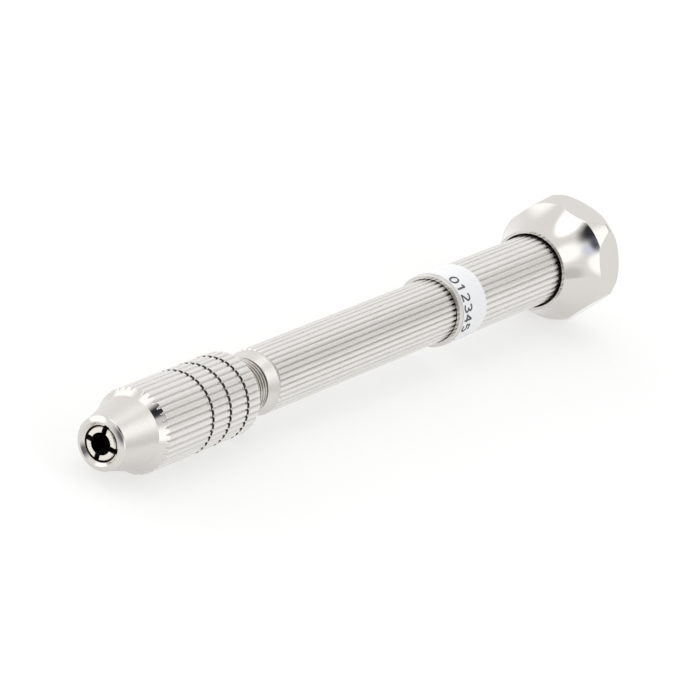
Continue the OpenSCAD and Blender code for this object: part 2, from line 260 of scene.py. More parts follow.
def turned(name, x, r, turns, poles=None, slots=None):
    """A turned piece from its grid: row i, column j is the point x, -r sin(turn), r cos(turn).

    The rows are carried round X and the last row joins the first one, or with poles, the x of two
    points on the axis, the first and last rows are closed there by fans. slots gives each row's
    material slot.
    """
    rings, n = x.shape
    points = np.stack([x, -r * np.sin(turns), r * np.cos(turns)], -1).reshape(-1, 3)
    bands = rings if poles is None else rings - 1
    ring, spoke = np.meshgrid(np.arange(bands), np.arange(n), indexing="ij")
    next_ring, next_spoke = (ring + 1) % rings, (spoke + 1) % n
    faces = np.stack([
        ring * n + spoke, ring * n + next_spoke,
        next_ring * n + next_spoke, next_ring * n + spoke,
    ], -1).reshape(-1, 4).tolist()
    slots = np.zeros(rings, int) if slots is None else np.asarray(slots)
    face_slots = np.repeat(slots[:bands], n)
    if poles is not None:
        points = np.vstack([points, [[poles[0], 0, 0], [poles[1], 0, 0]]])
        here, following = np.arange(n), (np.arange(n) + 1) % n
        last = (rings - 1) * n
        faces += np.stack([np.full(n, rings * n), following, here], -1).tolist()
        faces += np.stack([np.full(n, rings * n + 1), last + here, last + following], -1).tolist()
        face_slots = np.concatenate([face_slots, np.full(n, slots[0]), np.full(n, slots[-1])])
    return piece(name, points, faces, face_slots)


def piece(name, points, faces, slots):
    """A smooth mesh object from points in millimetres, its faces pointing outwards."""
    mesh = bpy.data.meshes.new(name)
    mesh.from_pydata(points * MM, [], faces)
    worked = bmesh.new()
    worked.from_mesh(mesh)
    if worked.calc_volume(signed=True) < 0:
        bmesh.ops.reverse_faces(worked, faces=worked.faces)
    worked.to_mesh(mesh)
    worked.free()
    mesh.polygons.foreach_set("material_index", np.asarray(slots, np.int32))
    mesh.polygons.foreach_set("use_smooth", np.ones(len(mesh.polygons), bool))
    mesh.set_sharp_from_angle(angle=math.radians(SHARP_ANGLE))
    mesh.update()
    obj = bpy.data.objects.new(name, mesh)
    bpy.context.scene.collection.objects.link(obj)
    return obj


def flute_turns(flutes):
    """The turns of a knurl's columns: the same ten in each flute, close together at its crest's edges.
    Along a flute, 0 is the crest's middle and 0.5 the groove's."""
    half, beside = KNURL_CREST / 2, 0.035
    side = np.array([half - beside, half, half + beside, 0.4])
    local = np.concatenate([-side[::-1], [0], side, [0.5]])
    return (np.arange(flutes)[:, None] + local).ravel() * 2 * math.pi / flutes


def knurl(flutes, crest_r, turns):
    """The radius of a straight knurl at each turn: broad crests, and between them V grooves whose depth
    grows evenly from the crest's edge to the groove's middle, with that edge a little worn."""
    local = np.abs((turns * flutes / (2 * math.pi) + 0.5) % 1 - 0.5)
    into = (local - KNURL_CREST / 2) / (0.5 - KNURL_CREST / 2)
    worn = 0.05  # share of the groove's width
    return crest_r - KNURL_DEPTH * worn * np.log1p(np.exp(into / worn))


def thread(x, turns, crest_r):
    """The radius of a right-hand thread: along the axis it rises from root to crest and falls again once
    a pitch, smoothly and with a flat crest, and each turn moves that pattern on by one pitch."""
    flat, flank = 0.1125, 0.25  # half of the crest's flat and the width of a flank, in pitches
    phase = (x / THREAD_PITCH - turns / (2 * math.pi)) % 1
    height = np.clip(1 - (np.abs(phase - 0.5) - flat) / flank, 0, 1)
    return crest_r - THREAD_DEPTH * (1 - height * height * (3 - 2 * height))


def run_in(x, first, rise, last, fall):
    """How much of a thread is cut: 0 at first, 1 after rise, and 0 again at last, after fall."""
    return np.clip((x - first) / rise, 0, 1) * np.clip((last - x) / fall, 0, 1)


# ---------------------------------------------------------------- pieces
def nose_cap():
    """The cap: a closed profile turned round X, its radius the lower of that profile's and the knurl's,
    so that the flutes run out on the bevel. The lip's front is a straight line from its face to its outer
    edge, raised by a parabola that is nought at both ends and LIP_CROWN in the middle."""
    lip_end = CAP_X + LIP_LEN
    rim = lip_end + CONE_LEN
    knurl_x = rim + BEVEL_LEN
    corners = [
        (CAP_X, MOUTH_R + MOUTH_CHAMFER, 0.04),
        *((CAP_X + LIP_LEN * share,
           LIP_FACE_R + (LIP_R - LIP_FACE_R) * share + LIP_CROWN * 4 * share * (1 - share), 0)
          for share in np.linspace(0, 1, 14)),
        (lip_end, CONE_R - 0.1, 0.02), (lip_end + 0.12, CONE_R, 0.03),
        (rim, CONE_END_R, 0.03),
        (knurl_x, CAP_R, 0.04),
    ]
    for i in range(RING_COUNT):
        x = CAP_X + RING_FIRST + i * RING_PITCH
        corners += [
            (x - RING_W / 2, CAP_R, 0.04), (x - RING_W / 2, CAP_R - RING_DEPTH, 0.03),
            (x + RING_W / 2, CAP_R - RING_DEPTH, 0.03), (x + RING_W / 2, CAP_R, 0.04),
        ]
    corners += [
        (CAP_END - CAP_CHAMFER, CAP_R, 0.06), (CAP_END, CAP_R - CAP_CHAMFER, 0.06),
        (CAP_END, CAP_BORE_R + 0.2, 0.04), (CAP_END - 0.2, CAP_BORE_R, 0),
        (CAP_BORE_X, CAP_BORE_R, 0), (CAP_BORE_X - 0.27, CHAMBER_R, 0), (CHAMBER_X, CHAMBER_R, 0),
        (TAPER_X, MOUTH_R, 0), (CAP_X + MOUTH_CHAMFER, MOUTH_R, 0.03),
    ]
    profile = finer(rounded(corners), rim, knurl_x, 0.07)
    profile = finer(profile, CAP_END - CAP_CHAMFER, CAP_END - 0.01, 0.07)
    profile = finer(profile, lip_end, rim, 0.8)
    turns = flute_turns(CAP_FLUTES)
    x, r = grid(profile, turns)
    r = lower(r, knurl(CAP_FLUTES, CAP_R, turns), KNURL_SOFT)
    at_x, at_r = sides(profile)
    inside = at_r < np.where(at_x < CAP_X + 1, MOUTH_R + 0.01, CAP_BORE_R + 0.05)
    inside &= at_x > CAP_X + MOUTH_CHAMFER
    inside &= (at_x > lip_end + 5) | (at_r < CHAMBER_R + 0.1)
    bright = (at_x < lip_end) | ((at_x > rim) & (at_x < knurl_x))
    knurled = (at_x > knurl_x) & (at_r > CAP_R - RING_DEPTH - 0.1)
    from_ring = (at_x - CAP_X - RING_FIRST + RING_PITCH / 2) % RING_PITCH - RING_PITCH / 2
    # The rings' steep walls take slot 4, painted nearly black as painted shade in the narrow cuts.
    walls = knurled & (abs(abs(from_ring) - RING_W / 2) < 0.05) & (at_r < CAP_R - 0.01)
    walls &= at_x < CAP_X + RING_FIRST + RING_COUNT * RING_PITCH
    slots = np.select([inside, walls, knurled, bright], [2, 4, 1, 3], 0)
    return turned("cap_shell", x, r, turns, slots=slots)


def barrel_front():
    """The front of the barrel, turned round X: up to the collar its radius is the greater of the root's
    and the thread's, whose height over the root fades out at both ends. The collar is a cone."""
    root = FRONT_THREAD_R - THREAD_DEPTH
    corners = [
        (BARREL_X, SOCKET_R, 0), (BARREL_X, root, 0.04),
        (COLLAR_X, root, 0), (COLLAR_X, FRONT_THREAD_R - 0.1, 0.03),
        (KNURL_X - 0.22, COLLAR_R, 0.04), (KNURL_X, COLLAR_R, 0.05), (KNURL_X, SOCKET_R, 0),
        (SEAT_X, SOCKET_R, 0), (SOCKET_END, SOCKET_R, 0),
    ]
    profile = finer(rounded(corners), BARREL_X + 0.1, COLLAR_X - 0.01, 0.05)
    x, r = grid(profile, ROUND_TURNS)
    outside = (r > root - 0.01) & (x < COLLAR_X)
    share = run_in(x, BARREL_X + 0.1, 0.4, COLLAR_X - 0.15, 0.35)
    cut = root + (thread(x, ROUND_TURNS, FRONT_THREAD_R) - root) * share
    r = np.where(outside, np.maximum(r, cut), r)
    at_x, at_r = sides(profile)
    slots = np.select([at_r < root - 0.05, at_x < COLLAR_X - 0.01], [2, 1], 0)
    return turned("barrel_front", x, r, ROUND_TURNS, slots=slots)


def barrel_knurl():
    """The long middle of the barrel: a tube with chamfered ends turned round X, its radius the lower of
    the tube's and the knurl's."""
    corners = [
        (KNURL_X, SOCKET_R, 0), (KNURL_X, BARREL_R - 0.12, 0.02), (KNURL_X + 0.12, BARREL_R, 0.04),
        (KNURL_END - 0.2, BARREL_R, 0.05), (KNURL_END, BARREL_R - 0.2, 0.03), (KNURL_END, STORAGE_R, 0),
        (STORAGE_X, STORAGE_R, 0), (STORAGE_X - 0.2, LONG_BORE_R, 0), (KNURL_X + 0.5, LONG_BORE_R, 0),
    ]
    profile = finer(rounded(corners), KNURL_X + 0.01, KNURL_X + 0.3, 0.05)
    profile = finer(profile, KNURL_END - 0.22, KNURL_END - 0.01, 0.07)
    turns = flute_turns(BARREL_FLUTES)
    x, r = grid(profile, turns)
    r = lower(r, knurl(BARREL_FLUTES, BARREL_R, turns), KNURL_SOFT)
    bored = 3.2  # over every bore's radius and under the middle of either end face
    slots = np.where(sides(profile)[1] < bored, 2, 1)
    return turned("barrel_knurl", x, r, turns, slots=slots)


def barrel_rear():
    """The rear of the barrel: a tube turned round X, its radius the greater of the root's and the
    thread's, whose height over the root fades out at both ends."""
    root = REAR_THREAD_R - THREAD_DEPTH
    corners = [
        (KNURL_END, STORAGE_R, 0), (KNURL_END, root, 0), (BARREL_END, root, 0.04),
        (BARREL_END, STORAGE_R, 0),
    ]
    profile = finer(rounded(corners), KNURL_END + 0.1, BARREL_END - 0.05, 0.05)
    x, r = grid(profile, ROUND_TURNS)
    share = run_in(x, KNURL_END + 0.3, 0.3, BARREL_END - 0.05, 0.3)
    cut = root + (thread(x, ROUND_TURNS, REAR_THREAD_R) - root) * share
    r = np.where(r > root - 0.01, np.maximum(r, cut), r)
    slots = np.where(sides(profile)[1] < root - 0.05, 2, 1)
    return turned("barrel_rear", x, r, ROUND_TURNS, slots=slots)


def sleeve():
    """The sleeve: a profile from the axis in its storage bore, round the outside, and back to the axis
    in the screw's hole. Behind its smooth rim the radius is the lower of the profile's and the knurl's."""
    corners = [
        (STORAGE_END, 0, 0), (STORAGE_END, STORAGE_R, 0), (SLEEVE_THREAD_END, STORAGE_R, 0),
        (SLEEVE_THREAD_END, SLEEVE_THREAD_R, 0), (SLEEVE_STEP_X, SLEEVE_THREAD_R, 0),
        (SLEEVE_STEP_X, SLEEVE_MOUTH_R, 0), (SLEEVE_X, SLEEVE_MOUTH_R, 0.04),
        (SLEEVE_X, SLEEVE_RIM_R, RIM_ROUND), (LABEL_X - 0.01, SLEEVE_RIM_R, 0.01),
        (LABEL_X, SLEEVE_R, 0), (SLEEVE_END - 0.2, SLEEVE_R, 0.05),
        (SLEEVE_END, SLEEVE_R - 0.2, 0.04), (SLEEVE_END, SCREW_HOLE_R, 0),
        (SCREW_HOLE_X, SCREW_HOLE_R, 0), (SCREW_HOLE_X, 0, 0),
    ]
    profile = finer(rounded(corners, closed=False), SLEEVE_END - 0.22, SLEEVE_END - 0.01, 0.06)
    profile = finer(profile, LABEL_X, SLEEVE_END - 0.3, 0.6)
    turns = flute_turns(SLEEVE_FLUTES)
    x, r = grid(profile[1:-1], turns)
    cut = lower(r, knurl(SLEEVE_FLUTES, SLEEVE_R, turns), KNURL_SOFT)
    r = np.where(x > LABEL_X - 0.005, cut, r)
    at_x, at_r = ((profile[1:-1] + profile[2:]) / 2).T
    inside = at_r <= SLEEVE_MOUTH_R + 0.01
    slots = np.select([inside, at_x > LABEL_X - 0.01, at_x < SLEEVE_X + RIM_ROUND], [2, 1, 3], 0)
    return turned("sleeve_shell", x, r, turns, poles=(STORAGE_END, SCREW_HOLE_X), slots=slots)


def label():
    """The paper band round the sleeve. Its radius sinks by a cosine between the crests under it, rises
    in a few long, low creases, each a Gaussian ridge along a parabola of x and turn, and lifts in waves
    at its rear edge."""
    corners = [
        (LABEL_X, LABEL_IN_R, 0), (LABEL_X, LABEL_R, 0.02),
        (LABEL_END, LABEL_R, 0.02), (LABEL_END, LABEL_IN_R, 0),
    ]
    profile = finer(rounded(corners), LABEL_X + 0.05, LABEL_END - 0.05, 0.2)
    turns = flute_turns(SLEEVE_FLUTES)
    x, r = grid(profile, turns)
    crest = np.abs((turns * SLEEVE_FLUTES / (2 * math.pi) + 0.5) % 1 - 0.5)
    sag = 0.012 * (1 - np.cos(crest * 2 * math.pi))
    along = (x - LABEL_X) / (LABEL_END - LABEL_X)
    creases = np.zeros_like(x)
    for turn, slant, height in CREASES:
        line = turns - turn - slant * (along - 0.3) ** 2
        creases += height * np.exp(-(line / CREASE_WIDTH) ** 2) * np.clip(along * 1.6 - 0.2, 0, 1)
    lift = 0.03 * along ** 6 * (1 + np.sin(turns * 5 + 1))
    stand = np.minimum(creases + lift, PAPER_STAND)
    r = np.where(r > (LABEL_R + LABEL_IN_R) / 2, r - sag + stand, r)
    return turned("label_band", x, r, turns)


def flare():
    """The reach and the end slope of the head's hollow flare, an arc from its lip to its shoulder."""
    start = math.radians(HEAD_LIP_SLOPE)
    end = 2 * math.atan2(HEAD_SHOULDER_R - HEAD_LIP_R, HEAD_SHOULDER_X - HEAD_X) - start
    return start, (HEAD_SHOULDER_X - HEAD_X) / (math.sin(end) - math.sin(start))


def head_radius(x):
    """The head's outline: a hollow flare whose slope's sine grows evenly along x, a straight band from
    its shoulder to the crest, and behind the crest a quarter ellipse down to the rear face."""
    start, reach = flare()
    sine = math.sin(start) + (np.clip(x, HEAD_X, HEAD_SHOULDER_X) - HEAD_X) / reach
    hollow = HEAD_LIP_R + reach * (math.cos(start) - np.sqrt(1 - sine ** 2))
    band = np.interp(x, [HEAD_SHOULDER_X, HEAD_CREST_X], [HEAD_SHOULDER_R, HEAD_CREST_R])
    rear = (HEAD_END - HEAD_CREST_X) / math.sqrt(1 - (HEAD_REAR_R / HEAD_CREST_R) ** 2)
    behind = HEAD_CREST_R * np.sqrt(1 - np.clip((x - HEAD_CREST_X) / rear, 0, 1) ** 2)
    return np.where(x < HEAD_SHOULDER_X, hollow, np.where(x < HEAD_CREST_X, band, behind))


def front_crease(radius):
    """The x at which the head's outline rises through a radius, on its flare or its band."""
    start, reach = flare()
    cosine = math.cos(start) - (np.minimum(radius, HEAD_SHOULDER_R) - HEAD_LIP_R) / reach
    hollow = HEAD_X + reach * (np.sqrt(1 - cosine ** 2) - math.sin(start))
    band = np.interp(radius, [HEAD_SHOULDER_R, HEAD_CREST_R], [HEAD_SHOULDER_X, HEAD_CREST_X])
    return np.where(radius < HEAD_SHOULDER_R, hollow, band)


def rear_crease(radius):
    """The x at which the head's outline falls through a radius behind its crest."""
    reach = (HEAD_END - HEAD_CREST_X) / math.sqrt(1 - (HEAD_REAR_R / HEAD_CREST_R) ** 2)
    return HEAD_CREST_X + reach * np.sqrt(1 - np.clip(radius / HEAD_CREST_R, 0, 1) ** 2)


def head():
    """The swivel head: its outline turned round X, the lower of it and a hexagon of flats. The rows
    gather along the shoulder and along the creases where the flats begin and end, to keep them crisp."""
    turns = np.arange(360) * 2 * math.pi / 360
    reach = 0.09  # of the rows that gather at a crease
    flat = HEAD_FLATS / 2 / np.cos((turns + math.pi / 6) % (math.pi / 3) - math.pi / 6)
    first = np.minimum(front_crease(flat), HEAD_CREST_X - 0.25)
    shoulder = np.minimum(HEAD_SHOULDER_X, first - 0.2)
    last = np.maximum(rear_crease(flat), HEAD_CREST_X + 0.25)
    near = np.array([-reach, -reach / 3, 0, reach / 3, reach])[:, None]

    def rows(start, end, count):
        """The rows that part start to end into count lengths, without either end."""
        return start + (end - start) * (np.arange(1, count) / count)[:, None]

    x = np.vstack([
        np.full((1, len(turns)), HEAD_X), rows(HEAD_X, shoulder - reach, 40),
        shoulder + near, rows(shoulder + reach, first - reach, 8),
        first + near, rows(first + reach, last - reach, 14),
        last + near, rows(last + reach, HEAD_END, 24), np.full((1, len(turns)), HEAD_END),
    ])
    r = lower(head_radius(x), np.broadcast_to(flat, x.shape), 0.02)
    inner = rounded([
        (HEAD_END + 1, HEAD_REAR_R, 0), (HEAD_END, HEAD_REAR_R - 0.03, 0),
        (HEAD_END, COUNTERBORE_R + 0.06, 0.04),
        (HEAD_END - 0.06, COUNTERBORE_R, 0.04), (COUNTERBORE_X, COUNTERBORE_R, 0),
        (COUNTERBORE_X, PIVOT_R, 0), (RECESS_X, PIVOT_R, 0), (RECESS_X, RECESS_R, 0),
        (HEAD_X, RECESS_R, 0.04), (HEAD_X, HEAD_LIP_R - 0.03, 0), (HEAD_X, HEAD_LIP_R + 1, 0),
    ], closed=False)[1:-1]
    inner_x, inner_r = grid(inner, turns)
    bore = (inner[:, 1] < RECESS_R + 0.01) & (inner[:, 0] < COUNTERBORE_X + 0.01)
    slots = np.concatenate([np.zeros(len(x), int), np.where(bore, 1, 0)])
    return turned("head_shell", np.vstack([x, inner_x]), np.vstack([r, inner_r]), turns, slots=slots)


# Each digit as strokes through points of a box 0.6 wide and 1 high.
AROUND = np.linspace(0, 2 * math.pi, 33)
DIGITS = {
    "0": [np.stack([0.3 + 0.28 * np.sin(AROUND), 0.5 + 0.5 * np.cos(AROUND)], 1)],
    "1": [np.array([[0.08, 0.8], [0.33, 1.0], [0.33, 0.0]])],
    "2": [np.vstack([
        np.stack([0.3 - 0.27 * np.cos(AROUND[3:19]), 0.73 + 0.27 * np.sin(AROUND[3:19])], 1),
        [[0.02, 0.0], [0.58, 0.0]],
    ])],
    "3": [
        np.stack([0.29 - 0.25 * np.cos(AROUND[3:25]), 0.75 + 0.25 * np.sin(AROUND[3:25])], 1),
        np.stack([0.29 + 0.29 * np.sin(AROUND[1:22]), 0.25 + 0.25 * np.cos(AROUND[1:22])], 1),
    ],
    "4": [np.array([[0.58, 0.3], [0.02, 0.3], [0.44, 1.0], [0.44, 0.0]])],
    "5": [np.vstack([
        [[0.54, 1.0], [0.12, 1.0], [0.07, 0.55]],
        np.stack([0.28 + 0.29 * np.sin(AROUND[:21]), 0.31 + 0.31 * np.cos(AROUND[:21])], 1),
    ])],
}


def stroke(path, width, step=0.03):
    """A flat stroke along a path: points every step, and at each one a pair half a width either side,
    square to the path, so that the stroke is two edges running along it."""
    lengths = np.concatenate([[0], np.cumsum(np.hypot(*np.diff(path, axis=0).T))])
    at = np.linspace(0, lengths[-1], max(2, int(lengths[-1] / step)))
    line = np.stack([np.interp(at, lengths, path[:, i]) for i in (0, 1)], 1)
    ahead = np.gradient(line, axis=0)
    ahead /= np.hypot(*ahead.T)[:, None]
    side = np.stack([-ahead[:, 1], ahead[:, 0]], 1) * width / 2
    return line + side, line - side


def label_print(carrier):
    """Plain digits on the label: strokes laid on the band, where u becomes a turn of u / LABEL_R and v
    is added to x.

    Each stroke is a closed ribbon of four edges. Two stand just over the label's radius, high enough
    to clear the paper's waves, and two are sunk in the paper.
    """
    middle = np.array(place(POINTS["print"], carrier)) / MM
    turn0 = math.atan2(-middle[1], middle[2])
    row, height, pitch, width = "012345", 1.6, 1.33, 0.23
    over, under = 0.03, -0.02
    points, faces = [], []
    for i, digit in enumerate(row):
        for path in DIGITS[digit]:
            u, v = ((path - [0.3, 0.5]) * height + [(i - (len(row) - 1) / 2) * pitch, 0]).T
            left, right = stroke(np.stack([u, v], 1), width)
            count, start = len(left), sum(len(p) for p in points)
            for edge, raised in ((left, over), (right, over), (right, under), (left, under)):
                turn, r = turn0 + edge[:, 0] / LABEL_R, LABEL_R + raised
                points.append(np.stack([
                    middle[0] + edge[:, 1], -r * np.sin(turn), r * np.cos(turn)], 1))
            k, side = np.meshgrid(np.arange(count - 1), np.arange(4), indexing="ij")
            here, beside = side * count, (side + 1) % 4 * count
            faces += (start + np.stack([
                here + k, here + k + 1, beside + k + 1, beside + k], -1).reshape(-1, 4)).tolist()
            ends = np.arange(4) * count
            faces += [(start + ends).tolist(), (start + ends[::-1] + count - 1).tolist()]
    return piece("label_print", np.vstack(points), faces, np.zeros(len(faces)))


# ---------------------------------------------------------------- materials
def colour(hex_code):
    """An sRGB hex colour as linear red, green, blue and alpha."""
    channels = [int(hex_code[i:i + 2], 16) / 255 for i in (0, 2, 4)]
    linear = [c / 12.92 if c <= 0.04045 else ((c + 0.055) / 1.055) ** 2.4 for c in channels]
    return (*linear, 1.0)


def add(tree, kind, inputs=(), **settings):
    """A new node: settings are its own properties, and inputs gives its sockets values or links."""
    made = tree.nodes.new(kind)
    for name, value in settings.items():
        setattr(made, name, value)
    for socket, value in dict(inputs).items():
        if isinstance(value, bpy.types.NodeSocket):
            tree.links.new(value, made.inputs[socket])
        else:
            made.inputs[socket].default_value = value
    return made


def material(name, **surface):
    """A new material with a Principled shader. Constants go on the shader's own sockets."""
    made = bpy.data.materials.new(name)
    made.use_nodes = True
    tree = made.node_tree
    tree.nodes.clear()
    shader = add(tree, "ShaderNodeBsdfPrincipled", {
        socket.replace("_", " "): value for socket, value in surface.items()})
    add(tree, "ShaderNodeOutputMaterial", {"Surface": shader.outputs[0]})
    return made, tree, shader


def blotches(tree, per_mm, stretch=(1, 1, 1), detail=3):
    """Noise on the object's own coordinates, with about per_mm patches in a millimetre."""
    coordinates = add(tree, "ShaderNodeTexCoord").outputs["Object"]
    mapped = add(tree, "ShaderNodeMapping", {"Vector": coordinates, "Scale": stretch}).outputs[0]
    return add(tree, "ShaderNodeTexNoise", {
        "Vector": mapped, "Scale": per_mm / MM, "Detail": detail}).outputs[0]


def between(tree, value, low, high):
    """Noise spread over low to high: nearly all of it lies within 0.3 to 0.7."""
    return add(tree, "ShaderNodeMapRange", {
        "Value": value, "From Min": 0.3, "From Max": 0.7, "To Min": low, "To Max": high}).outputs[0]


def tinted(tree, value, first, second):
    """A colour from first to second as a value goes from 0 to 1."""
    return add(tree, "ShaderNodeMix", {
        0: value, 6: colour(first), 7: colour(second)}, data_type="RGBA").outputs[2]


def bumped(tree, shader, height, millimetres):
    """Gives a shader relief, that many millimetres deep from height 0 to 1."""
    bump = add(tree, "ShaderNodeBump", {
        "Height": height, "Distance": millimetres * MM, "Strength": 1.0})
    tree.links.new(bump.outputs[0], shader.inputs["Normal"])


def away_from(tree, first_r, last_r):
    """0 at one distance from the tool's axis and 1 at the other, such as a crest's and a groove's."""
    coordinates = add(tree, "ShaderNodeTexCoord").outputs["Object"]
    across = add(tree, "ShaderNodeVectorMath", {
        0: coordinates, 1: (0, 1, 1)}, operation="MULTIPLY").outputs[0]
    radius = add(tree, "ShaderNodeVectorMath", {0: across}, operation="LENGTH").outputs["Value"]
    return add(tree, "ShaderNodeMapRange", {
        "Value": radius, "From Min": first_r * MM, "From Max": last_r * MM}).outputs[0]


def knurled_nickel(name, crest_r, covered_x):
    """Satin nickel plate on a straight knurl. The crests are drawn along the axis, so they hold fine
    long scratches and blur reflections. The grooves keep the cutter's torn, matt surface under the
    plate and a pale layer of polish, which scatter light instead of mirroring it. Just in front of
    covered_x, where the next piece goes over the knurl, the grooves are painted nearly black: painted
    shade of the gap under that piece's rim."""
    made, tree, shader = material(name)
    drawn = blotches(tree, 6, (0.03, 1, 1))
    groove = away_from(tree, crest_r - 0.03, crest_r - KNURL_DEPTH / 2)
    clean = tinted(tree, blotches(tree, 0.35), "E3E1DD", "EAE8E4")
    along = add(tree, "ShaderNodeSeparateXYZ", {
        "Vector": add(tree, "ShaderNodeTexCoord").outputs["Object"]}).outputs["X"]
    # Painted shade: the grooves darken to nearly black over the last 0.6 mm before covered_x, where the
    # next piece's rim overhangs them.
    mouth_shade = add(tree, "ShaderNodeMapRange", {
        "Value": along, "From Min": (covered_x - 0.6) * MM, "From Max": (covered_x - 0.2) * MM})
    groove_film_and_shade = tinted(tree, mouth_shade.outputs[0], "E9E7E4", "1C1A18")
    base = add(tree, "ShaderNodeMix", {0: groove, 6: clean, 7: groove_film_and_shade}, data_type="RGBA").outputs[2]
    metal = add(tree, "ShaderNodeMapRange", {"Value": groove, "To Min": 1.0, "To Max": 0.5}).outputs[0]
    tree.links.new(base, shader.inputs["Base Color"])
    tree.links.new(metal, shader.inputs["Metallic"])
    tree.links.new(between(tree, drawn, 0.25, 0.31), shader.inputs["Roughness"])
    bumped(tree, shader, drawn, 0.0003)
    return made


def threaded_nickel(name, crest_r):
    """Nickel plate on a thread: its crests are rubbed bright by the part that screws over them, and its
    roots are painted a darker warm grey, as painted shade in the recessed thread."""
    made, tree, shader = material(name, Metallic=1.0)
    worn = blotches(tree, 4)
    # Painted shade: darker towards the thread's roots.
    root = away_from(tree, crest_r - 0.02, crest_r - THREAD_DEPTH * 0.6)
    base = add(tree, "ShaderNodeMix", {
        0: root, 6: colour("D8D4CF"), 7: colour("8A847D")}, data_type="RGBA").outputs[2]
    tree.links.new(base, shader.inputs["Base Color"])
    tree.links.new(between(tree, worn, 0.22, 0.36), shader.inputs["Roughness"])
    bumped(tree, shader, worn, 0.002)
    return made


def shaded_ring_nickel():
    """Nickel plate on the steep walls of the grip rings, painted nearly black: painted shade of the
    narrow cuts, whose walls face each other."""
    made, tree, shader = material("shaded_ring_nickel", Metallic=1.0)
    base = tinted(tree, blotches(tree, 2), "454240", "7C7873")
    tree.links.new(base, shader.inputs["Base Color"])
    tree.links.new(between(tree, blotches(tree, 5), 0.4, 0.6), shader.inputs["Roughness"])
    return made


def turned_nickel():
    """Satin nickel plate on lathe-turned faces: fine rings round the axis, 0.08 mm apart here, where
    real ones are finer than the render shows, under a soft even sheen."""
    made, tree, shader = material("turned_nickel", Metallic=1.0)
    rings = blotches(tree, 12, (1, 0.02, 0.02), 2)
    base = tinted(tree, blotches(tree, 0.3), "D6D3CF", "DEDBD7")
    tree.links.new(base, shader.inputs["Base Color"])
    tree.links.new(between(tree, rings, 0.27, 0.35), shader.inputs["Roughness"])
    bumped(tree, shader, rings, 0.0006)
    return made


def polished_nickel():
    """Buffed nickel plate: almost a mirror, slightly warm, with the low waves that buffing leaves and
    a few hair scratches."""
    made, tree, shader = material("polished_nickel", Metallic=1.0, Roughness=0.08)
    base = tinted(tree, blotches(tree, 0.15), "D5D2CD", "DCD9D5")
    tree.links.new(base, shader.inputs["Base Color"])
    tree.links.new(between(tree, blotches(tree, 3, (0.3, 1, 1)), 0.06, 0.13), shader.inputs["Roughness"])
    bumped(tree, shader, blotches(tree, 0.35, detail=1), 0.012)
    return made


def shaded_bore_steel():
    """Bare drilled steel inside the bores: dull, with drill rings round the axis, and painted dark as
    painted shade deep inside them.
    """
    made, tree, shader = material("shaded_bore_steel", Metallic=1.0, Roughness=0.45)
    rings = blotches(tree, 5, (1, 0.03, 0.03), 2)
    base = tinted(tree, blotches(tree, 0.5), "55504C", "716C67")
    tree.links.new(base, shader.inputs["Base Color"])
    tree.links.new(between(tree, rings, 0.38, 0.55), shader.inputs["Roughness"])
    bumped(tree, shader, rings, 0.006)
    return made


def ground_steel(name, shaded_bore_r):
    """Ground tool steel of the jaws and the screw: bright and slightly warm, with short grinding marks
    across the axis. Nearer to the axis than the radius given, it is painted nearly black: painted shade
    inside the bore."""
    made, tree, shader = material(name, Metallic=1.0)
    marks = blotches(tree, 7, (1, 0.15, 1))
    ground = tinted(tree, blotches(tree, 0.6), "E8E3D8", "F1EDE4")
    # Painted shade: nearly black inside the bore.
    bored = away_from(tree, shaded_bore_r + 0.03, shaded_bore_r)
    base = add(tree, "ShaderNodeMix", {
        0: bored, 6: ground, 7: colour("1F1D1B")}, data_type="RGBA").outputs[2]
    tree.links.new(base, shader.inputs["Base Color"])
    tree.links.new(between(tree, marks, 0.18, 0.34), shader.inputs["Roughness"])
    bumped(tree, shader, marks, 0.003)
    return made


def washer_brass():
    """Punched brass sheet: yellow, rubbed satin on its faces, browner where it has tarnished."""
    made, tree, shader = material("washer_brass", Metallic=1.0, Roughness=0.3)
    base = tinted(tree, blotches(tree, 0.8), "C9A45A", "E0C27E")
    tree.links.new(base, shader.inputs["Base Color"])
    tree.links.new(between(tree, blotches(tree, 4), 0.24, 0.4), shader.inputs["Roughness"])
    bumped(tree, shader, blotches(tree, 6), 0.002)
    return made


def label_paper():
    """Coated white label paper: a thin glossy coat over matt fibre, and the faint cockling of paper
    that has been stuck round a small cylinder."""
    made, tree, shader = material("label_paper", Metallic=0.0, Roughness=0.45, IOR=1.5)
    shader.inputs["Coat Weight"].default_value = 0.5
    shader.inputs["Coat Roughness"].default_value = 0.12
    base = tinted(tree, blotches(tree, 0.5), "F5F6F7", "FBFBFC")
    tree.links.new(base, shader.inputs["Base Color"])
    tree.links.new(between(tree, blotches(tree, 12), 0.4, 0.55), shader.inputs["Roughness"])
    bumped(tree, shader, blotches(tree, 0.6, detail=2), 0.03)
    return made


def printed_ink():
    """Dark grey printing ink: matt, thin enough to be a little uneven."""
    made, tree, shader = material("printed_ink", Metallic=0.0, Roughness=0.5, IOR=1.5)
    base = tinted(tree, blotches(tree, 6), "3C3F45", "54575D")
    tree.links.new(base, shader.inputs["Base Color"])
    tree.links.new(between(tree, blotches(tree, 20), 0.45, 0.6), shader.inputs["Roughness"])
    return made


